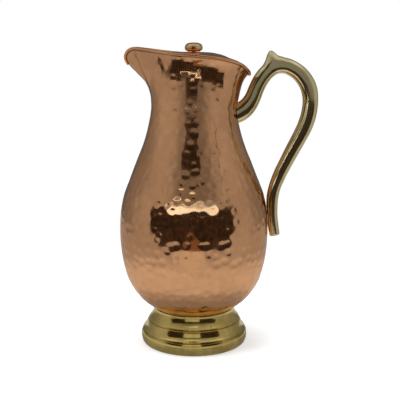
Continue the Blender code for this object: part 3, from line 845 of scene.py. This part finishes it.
def handle_surface():
    """Points of the handle: its section carried along the centre line, drawn in over the last
    millimetre at each end."""
    stations = smooth_curve(HANDLE, HANDLE_STEPS)
    centre = stations[:, :2]
    run = unit(np.gradient(centre, axis=0))
    outward = np.stack([-run[:, 1], run[:, 0]], axis=1)
    loops = handle_section(stations[:, 2], stations[:, 3], stations[:, 4])
    shrink, back = np.array(END_SHARE), np.array(END_BACK)
    first, last = loops[:1] * shrink[:, None, None], loops[-1:] * shrink[::-1, None, None]
    rows = np.concatenate([first, loops, last])
    first = centre[0] - run[0] * (END_REACH - back[:, None])
    last = centre[-1] + run[-1] * (END_REACH - back[::-1, None])
    middles = np.concatenate([first, centre, last])
    ends = len(shrink)
    first, last = np.repeat(outward[:1], ends, axis=0), np.repeat(outward[-1:], ends, axis=0)
    ways = np.concatenate([first, outward, last])
    x = middles[:, :1] + ways[:, :1] * rows[..., 0]
    z = middles[:, 1:] + ways[:, 1:] * rows[..., 0]
    return np.stack([x, rows[..., 1], z], axis=2)


def saddle_mesh():
    """The vessel's outline on the handle's side, a gap wider and spun about the axis, as a closed tool."""
    wall, _ = vessel_skin(COARSE_COLUMNS, COARSE_STEP, COARSE_ROWS)
    column = wall[:, 0]
    kept = column[(column[:, 2] > SADDLE_FROM) & (column[:, 2] < SADDLE_TO)]
    profile = np.array([(0.0, kept[0, 2])] + [(p[0] + GAP, p[2]) for p in kept] + [(0.0, kept[-1, 2])])
    return tidy_mesh(grid_mesh("saddle_space", spun(profile, SADDLE_SEGMENTS)))


class JUG_OT_foot(bpy.types.Operator):
    """Build the turned brass foot, its bottom band and the vessel's base disc"""

    bl_idname = "jug.foot"
    bl_label = "Foot"

    def execute(self, context):
        """Three outlines spun about the axis."""
        brass = metal("brass_turned")
        ring = turned_mesh("foot_ring_turned", FOOT_RUNS, FOOT_SEGMENTS)
        add_piece("foot_ring_turned", ring, brass, "jug", "foot_ring")
        band = turned_mesh("foot_band_turned", BAND_RUNS, FOOT_SEGMENTS)
        add_piece("foot_band_turned", band, brass, "jug", "foot_band")
        disc = turned_mesh("base_disc_sheet", DISC_RUNS, DISC_SEGMENTS)
        copper = metal("copper_planished_and_polished")
        add_piece("base_disc_sheet", disc, copper, "jug", "base_disc")
        return {"FINISHED"}


class JUG_OT_fasteners(bpy.types.Operator):
    """Give the screws and washers their metal"""

    bl_idname = "jug.fasteners"
    bl_label = "Screws and washers"

    def execute(self, context):
        """The solids of the screws and washers stay as they are."""
        for name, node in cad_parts.items():
            if "screw" in name or "washer" in name:
                node.data.materials[0] = metal("brass_machine_cut")
        return {"FINISHED"}


class JUG_OT_stage(bpy.types.Operator):
    """Build the floor, the lights, the camera and the room that the metal mirrors"""

    bl_idname = "jug.stage"
    bl_label = "Stage"

    def execute(self, context):
        """Everything that isn't the jug."""
        settings = context.scene.jug_stage
        scene = context.scene
        scene.view_settings.view_transform = "Standard"
        stage_camera(scene, settings)
        stage_room(scene, settings)
        stage_cards(scene)
        stage_floor()
        stage_table(settings)
        stage_lights()
        return {"FINISHED"}


def stage_camera(scene, settings):
    """The camera, looking along +Y and a little down."""
    camera = bpy.data.objects.new("camera", bpy.data.cameras.new("camera"))
    scene.collection.objects.link(camera)
    camera.location = settings.eye
    camera.rotation_euler = (math.pi / 2 - settings.pitch, 0, 0)
    camera.data.angle = settings.field
    scene.camera = camera


# Things round the jug that only its reflections see, on upright cylinders about its axis:
# (name, radius, from and to in degrees round from the front, lowest and highest point in metres, colour)
CARDS = (
    ("dark_bench", 0.310, -50, 50, 0.040, 0.221, (0.024, 0.017, 0.013)),
    ("dark_shelf", 0.310, -62, -50, 0.085, 0.219, (0.024, 0.017, 0.013)),
    ("dark_case", 0.310, 50, 59, 0.098, 0.213, (0.024, 0.017, 0.013)),
    ("warm_gap", 0.305, -8, 9, 0.000, 0.085, (0.21, 0.12, 0.065)),
    ("bright_strip", 0.110, -28, 26, 0.1545, 0.196, (1.3, 1.6, 1.8)),
    ("bright_thread", 0.200, -14, 12, 0.213, 0.222, (3.2, 3.5, 3.5)),
    ("bright_cord", 0.200, -30, 12, 0.2205, 0.2290, (3.0, 3.3, 3.3)),
    ("low_panel", 0.150, -21, 13, 0.030, 0.084, (0.60, 0.60, 0.57)),
    ("dark_post", 0.142, -18, 9, 0.2458, 0.360, (0.022, 0.016, 0.013)),
    ("dark_frame", 0.200, -20, 11, 0.274, 0.340, (0.022, 0.016, 0.013)),
    ("dark_cord", 0.310, 50, 52, 0.285, 0.370, (0.03, 0.02, 0.015)),
)
CARD_STEPS = 24
# Floor and table, as discs: sides, radius and height
DISC_SIDES = 96
FLOOR_RADIUS = 1500.0
TABLE_RADIUS, TABLE_Z = 800.0, -0.5


def stage_room(scene, settings):
    """A room of soft pale walls under a bright ceiling, which only reflections see; the camera sees white."""
    world = bpy.data.worlds.new("room")
    scene.world = world
    world.use_nodes = True
    tree = world.node_tree
    way = tree.nodes.new("ShaderNodeTexCoord").outputs["Generated"]
    split = add(tree, "ShaderNodeSeparateXYZ", {0: way})
    lift = add(tree, "ShaderNodeMath", {0: split.outputs[2]}, operation="ARCSINE")
    wall = add(
        tree, "ShaderNodeMapRange",
        {0: lift.outputs[0], 1: math.radians(36), 2: math.radians(62), 3: settings.room, 4: settings.ceiling},
        interpolation_type="SMOOTHSTEP",
    )
    across = add(tree, "ShaderNodeMath", {0: split.outputs[0]}, operation="ABSOLUTE")
    side = add(
        tree, "ShaderNodeMapRange", {0: across.outputs[0], 1: 0.3, 2: 0.82, 3: 0.48, 4: 1.0},
        interpolation_type="SMOOTHSTEP",
    )
    behind = add(
        tree, "ShaderNodeMapRange", {0: split.outputs[1], 1: -0.1, 2: 0.6, 3: 1.0, 4: settings.back},
        interpolation_type="SMOOTHSTEP",
    )
    sides = add(tree, "ShaderNodeMath", {0: side.outputs[0], 1: behind.outputs[0]}, operation="MULTIPLY")
    light = add(tree, "ShaderNodeMath", {0: wall.outputs[0], 1: sides.outputs[0]}, operation="MULTIPLY")
    seen = add(tree, "ShaderNodeLightPath")
    final = blend(tree, seen.outputs["Is Camera Ray"], light.outputs[0], (1, 1, 1, 1))
    tree.links.new(final, tree.nodes["Background"].inputs["Color"])


def stage_cards(scene):
    """Each card: a strip of an upright cylinder about the jug's axis, which only reflections see."""
    for name, reach, start, stop, low, high, colour in CARDS:
        turn = np.radians(np.linspace(start, stop, CARD_STEPS + 1))[None, :]
        height = np.array([low, high])[:, None]
        x, y = reach * np.sin(turn) + AXIS_X * MM, -reach * np.cos(turn)
        points = np.stack(np.broadcast_arrays(x, y, height), axis=2).reshape(-1, 3)
        i = np.arange(CARD_STEPS)
        faces = np.stack([i, i + 1, i + CARD_STEPS + 2, i + CARD_STEPS + 1], axis=1)
        mesh = bpy.data.meshes.new(name)
        mesh.from_pydata(points, [], faces)
        mesh.materials.append(card_cloth(name, low, high, colour))
        card = bpy.data.objects.new(name, mesh)
        scene.collection.objects.link(card)
        for ray in ("camera", "diffuse", "shadow", "transmission", "volume_scatter"):
            setattr(card, f"visible_{ray}", False)


def card_cloth(name, low, high, colour):
    """A card's glow: dark ones are cloth with paler folds, and bright ones fade out towards their top."""
    glow = bpy.data.materials.new(f"{name}_cloth")
    glow.use_nodes = True
    tree = glow.node_tree
    paint = tree.nodes["Principled BSDF"]
    paint.inputs["Base Color"].default_value = (0, 0, 0, 1)
    paint.inputs["Specular IOR Level"].default_value = 0.0
    paint.inputs["Emission Color"].default_value = rgba(colour)
    paint.inputs["Emission Strength"].default_value = 1.0
    place = tree.nodes.new("ShaderNodeTexCoord").outputs["Object"]
    if name.startswith("dark"):
        folds = add(tree, "ShaderNodeTexNoise", {"Vector": place, "Scale": 28.0, "Detail": 3.0})
        light = add(tree, "ShaderNodeMapRange", {0: folds.outputs[0], 1: 0.42, 2: 0.72, 3: 1.0, 4: 3.2})
        tree.links.new(light.outputs[0], paint.inputs["Emission Strength"])
    if name.startswith("bright"):
        split = add(tree, "ShaderNodeSeparateXYZ", {0: place})
        full = 0.85 * low + 0.15 * high
        rise = add(tree, "ShaderNodeMapRange", {0: split.outputs[2], 1: high, 2: full, 3: 0.0, 4: 1.0})
        soft = add(tree, "ShaderNodeMath", {0: rise.outputs[0], 1: 2.2}, operation="POWER")
        tree.links.new(soft.outputs[0], paint.inputs["Emission Strength"])
        tree.links.new(soft.outputs[0], paint.inputs["Alpha"])
    return glow


def disc_mesh(name, radius, height):
    """A flat disc of many sides, centred under the vessel."""
    angle = np.linspace(0, TURN, DISC_SIDES, endpoint=False)
    x, y = radius * np.cos(angle) + AXIS_X, radius * np.sin(angle)
    points = np.stack([x, y, np.full(DISC_SIDES, height)], axis=1) * MM
    mesh = bpy.data.meshes.new(name)
    mesh.from_pydata(points, [], [tuple(range(DISC_SIDES))])
    return mesh


def stage_floor():
    """A pale matt floor that fades into the white round about."""
    floor = bpy.data.objects.new("floor", disc_mesh("floor", FLOOR_RADIUS, 0.0))
    bpy.context.scene.collection.objects.link(floor)
    paint = bpy.data.materials.new("floor_matt_white")
    paint.use_nodes = True
    tree = paint.node_tree
    shader = tree.nodes["Principled BSDF"]
    shader.inputs["Base Color"].default_value = (0.8, 0.8, 0.8, 1)
    shader.inputs["Roughness"].default_value = 0.9
    shader.inputs["Emission Color"].default_value = (1, 1, 1, 1)
    shader.inputs["Emission Strength"].default_value = 0.42
    place = tree.nodes.new("ShaderNodeTexCoord").outputs["Object"]
    distance = add(tree, "ShaderNodeVectorMath", {0: place}, operation="LENGTH")
    fade = add(
        tree, "ShaderNodeMapRange", {0: distance.outputs["Value"], 1: 0.16, 2: 0.5, 3: 1.0, 4: 0.0},
        interpolation_type="SMOOTHSTEP",
    )
    tree.links.new(fade.outputs[0], shader.inputs["Alpha"])
    floor.data.materials.append(paint)
    floor.visible_glossy = False


def stage_table(settings):
    """The table top that only the metal mirrors, glowing in place of a lit table: dim close round the foot, a
    painted shadow of the jug, bright at arm's length, dimming again to the room's light, and cut off by a
    circle that reaches further behind the jug."""
    table = bpy.data.objects.new("table", disc_mesh("table", TABLE_RADIUS, TABLE_Z))
    bpy.context.scene.collection.objects.link(table)
    glow = bpy.data.materials.new("table_lit_top")
    glow.use_nodes = True
    tree = glow.node_tree
    tree.nodes.remove(tree.nodes["Principled BSDF"])
    place = tree.nodes.new("ShaderNodeTexCoord").outputs["Object"]
    middle = add(tree, "ShaderNodeVectorMath", {0: place, 1: (-AXIS_X * MM, -0.15, 0)}, operation="ADD")
    out = add(tree, "ShaderNodeVectorMath", {0: middle.outputs[0]}, operation="LENGTH")
    front = add(
        tree, "ShaderNodeMapRange", {0: out.outputs["Value"], 1: 0.70, 2: 0.75, 3: 1.0, 4: 0.0},
        interpolation_type="SMOOTHSTEP",
    )
    near = add(tree, "ShaderNodeVectorMath", {0: place, 1: (-AXIS_X * MM, 0, 0)}, operation="ADD")
    reach = add(tree, "ShaderNodeVectorMath", {0: near.outputs[0]}, operation="LENGTH")
    # Painted shadow of the jug: the table's glow is dimmer close round the foot
    shade = add(
        tree, "ShaderNodeMapRange",
        {0: reach.outputs["Value"], 1: 0.05, 2: 0.14, 3: settings.table * 0.42, 4: settings.table},
        interpolation_type="SMOOTHSTEP",
    )
    far = add(
        tree, "ShaderNodeMapRange",
        {0: reach.outputs["Value"], 1: 0.18, 2: 0.36, 3: 1.0, 4: settings.room / settings.table},
        interpolation_type="SMOOTHSTEP",
    )
    both = add(tree, "ShaderNodeMath", {0: shade.outputs[0], 1: far.outputs[0]}, operation="MULTIPLY")
    light = add(tree, "ShaderNodeEmission", {"Strength": both.outputs[0]})
    clear = add(tree, "ShaderNodeBsdfTransparent")
    mixed = add(tree, "ShaderNodeMixShader", {0: front.outputs[0], 1: clear.outputs[0], 2: light.outputs[0]})
    tree.links.new(mixed.outputs[0], tree.nodes["Material Output"].inputs[0])
    table.data.materials.append(glow)
    table.visible_camera = False
    table.visible_diffuse = False
    table.visible_shadow = False


# Soft lights: (name, place in metres, size, power in watts)
LIGHTS = (
    ("light_left", (-1.1, -0.35, 0.75), 0.7, 9.0),
    ("light_right", (1.1, -0.45, 0.7), 0.6, 6.0),
    ("light_top", (-0.1, 0.1, 1.4), 0.9, 14.0),
)


def stage_lights():
    """Square soft lights, each aimed at the middle of the jug."""
    for name, place, size, power in LIGHTS:
        data = bpy.data.lights.new(name, "AREA")
        data.size = size
        data.energy = power
        lamp = bpy.data.objects.new(name, data)
        bpy.context.scene.collection.objects.link(lamp)
        lamp.visible_glossy = False
        lamp.location = place
        aim = np.array([AXIS_X * MM, 0.0, 0.14]) - np.array(place)
        flat = math.hypot(aim[0], aim[1])
        lamp.rotation_euler = (math.atan2(flat, -aim[2]), 0.0, math.atan2(aim[1], aim[0]) - math.pi / 2)


class JUG_PT_panel(bpy.types.Panel):
    """The jug's settings and pieces"""

    bl_idname = "JUG_PT_panel"
    bl_label = "Water jug"
    bl_space_type = "VIEW_3D"
    bl_region_type = "UI"
    bl_category = "Jug"

    def draw(self, context):
        """Every setting, then a button for each operator."""
        layout = self.layout
        for group in (context.scene.jug_sizes, context.scene.jug_colours, context.scene.jug_stage):
            box = layout.box()
            for name in group.bl_rna.properties.keys():
                if name not in ("name", "rna_type"):
                    box.prop(group, name)
        for operator in OPERATORS:
            layout.operator(operator.bl_idname)


GROUPS = (JugSizes, JugColours, StageSettings)
OPERATORS = (JUG_OT_vessel, JUG_OT_lid, JUG_OT_handle, JUG_OT_foot, JUG_OT_fasteners, JUG_OT_stage)


def register():
    """Adds the classes, and gives each scene its settings."""
    for kind in GROUPS + OPERATORS + (JUG_PT_panel,):
        bpy.utils.register_class(kind)
    bpy.types.Scene.jug_sizes = PointerProperty(type=JugSizes)
    bpy.types.Scene.jug_colours = PointerProperty(type=JugColours)
    bpy.types.Scene.jug_stage = PointerProperty(type=StageSettings)


def unregister():
    """Takes away what register added."""
    del bpy.types.Scene.jug_sizes
    del bpy.types.Scene.jug_colours
    del bpy.types.Scene.jug_stage
    for kind in reversed(GROUPS + OPERATORS + (JUG_PT_panel,)):
        bpy.utils.unregister_class(kind)


def main():
    """Builds every piece and the stage."""
    register()
    bpy.ops.jug.vessel()
    bpy.ops.jug.lid()
    bpy.ops.jug.handle()
    bpy.ops.jug.foot()
    bpy.ops.jug.fasteners()
    bpy.ops.jug.stage()


if __name__ == "__main__":
    main()
